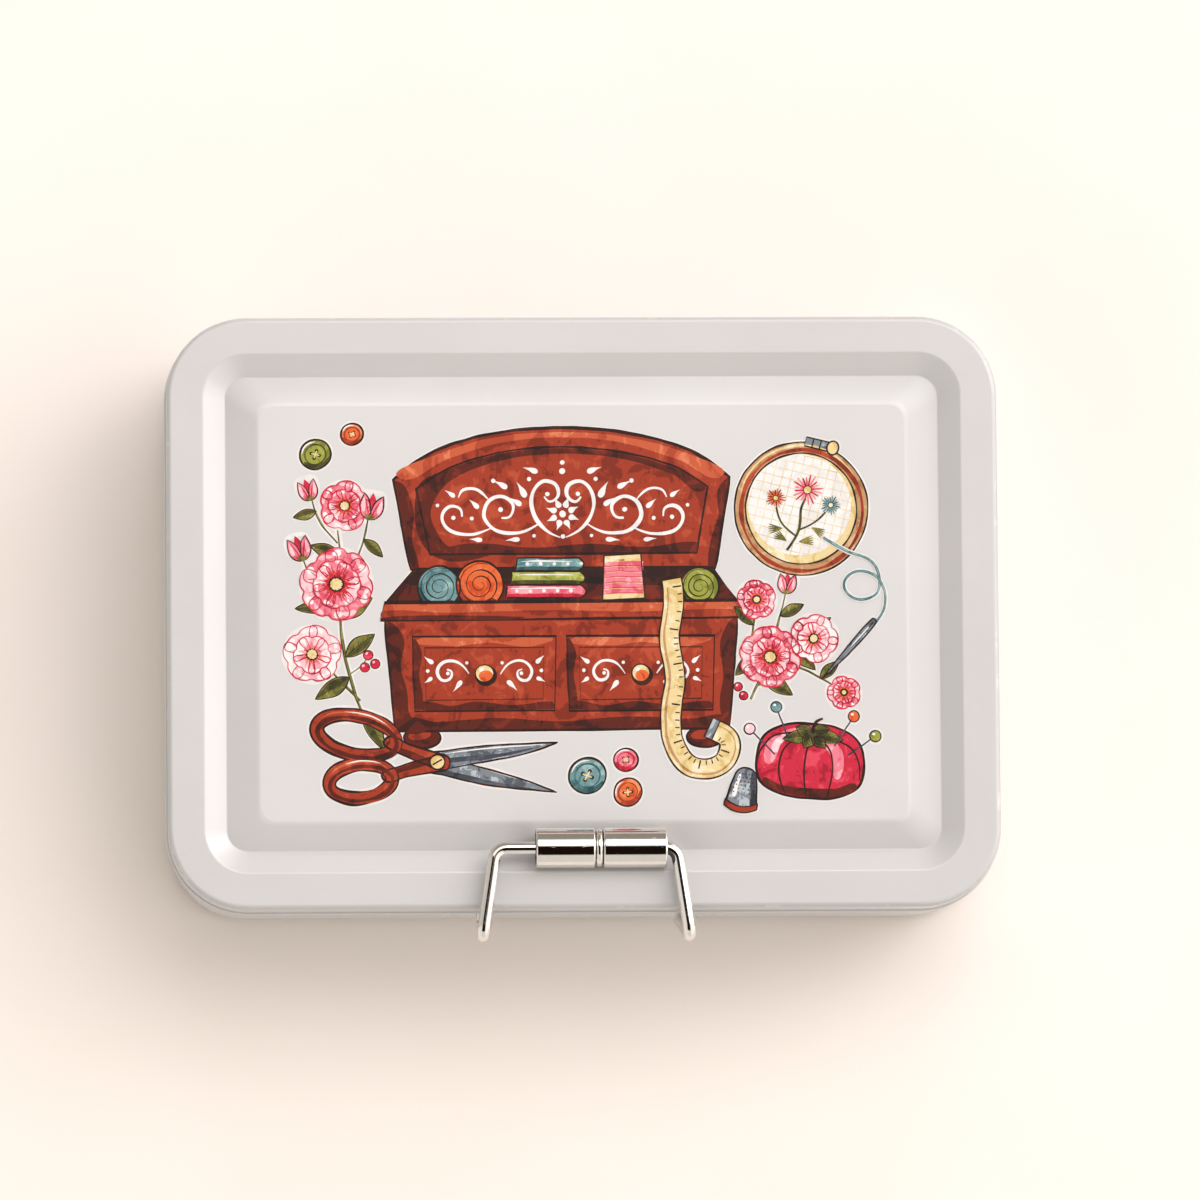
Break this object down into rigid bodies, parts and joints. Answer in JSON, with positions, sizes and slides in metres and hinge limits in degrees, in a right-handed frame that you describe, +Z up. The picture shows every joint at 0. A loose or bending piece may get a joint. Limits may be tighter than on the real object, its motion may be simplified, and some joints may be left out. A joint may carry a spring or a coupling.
{
  "type": "sewing tin",
  "caption": "Hinged rectangular sheet-metal tin with a pressed lid, raised centre panel and a wire bail latch with sleeves that drops over the front rim.",
  "frame": {"origin": "centre of the flat underside of the stacking foot, under the middle of the lid", "axes": "+X to the right seen from the front (latch side), +Y to the back (hinge side), +Z up"},
  "size_m": [0.1908, 0.1448, 0.055],
  "materials": {
    "lid_paint": "satin warm white enamel",
    "body_paint": "satin warm white enamel",
    "chrome": "polished nickel-chrome plate",
    "plated_steel": "bright nickel-plated sheet steel",
    "steel": "plain bright steel",
    "bush_plastic": "moulded, matt"
  },
  "bodies": {
    "base": {"body_wall": "body_paint", "bottom_panel": "body_paint", "hinge_leaf_left": "plated_steel", "hinge_leaf_right": "plated_steel", "hinge_pin_left": "steel", "hinge_pin_right": "steel", "hinge_rivets": "steel", "bail_lug_left": "plated_steel", "bail_lug_right": "plated_steel", "bail_lug_rivets": "steel"},
    "lid": {"lid_shell": "lid_paint"},
    "bail": {"bail_wire": "chrome"},
    "spacer": {"centre_ring": "chrome"},
    "left_sleeve": {"sleeve_left": "chrome", "sleeve_bushes_left": "bush_plastic"},
    "right_sleeve": {"sleeve_right": "chrome", "sleeve_bushes_right": "bush_plastic"}
  },
  "joints": [
    {"name": "lid_hinge", "type": "hinge", "parent": "base", "child": "lid", "pos_m": [0, 0.0682, 0.0326], "axis": [-1, 0, 0], "range_deg": [0, 110]},
    {"name": "bail_swing", "type": "hinge", "parent": "base", "child": "bail", "pos_m": [0, -0.06905, 0.0316], "axis": [1, 0, 0], "range_deg": [0, 160]},
    {"name": "sleeves_slide", "type": "slide", "parent": "bail", "child": "spacer", "axis": [1, 0, 0], "range_m": [-0.0068, 0]},
    {"name": "left_sleeve_spin", "type": "hinge", "parent": "spacer", "child": "left_sleeve", "pos_m": [0, -0.05415, 0.0504], "axis": [1, 0, 0], "continuous": true},
    {"name": "right_sleeve_spin", "type": "hinge", "parent": "spacer", "child": "right_sleeve", "pos_m": [0, -0.05415, 0.0504], "axis": [1, 0, 0], "continuous": true}
  ]
}
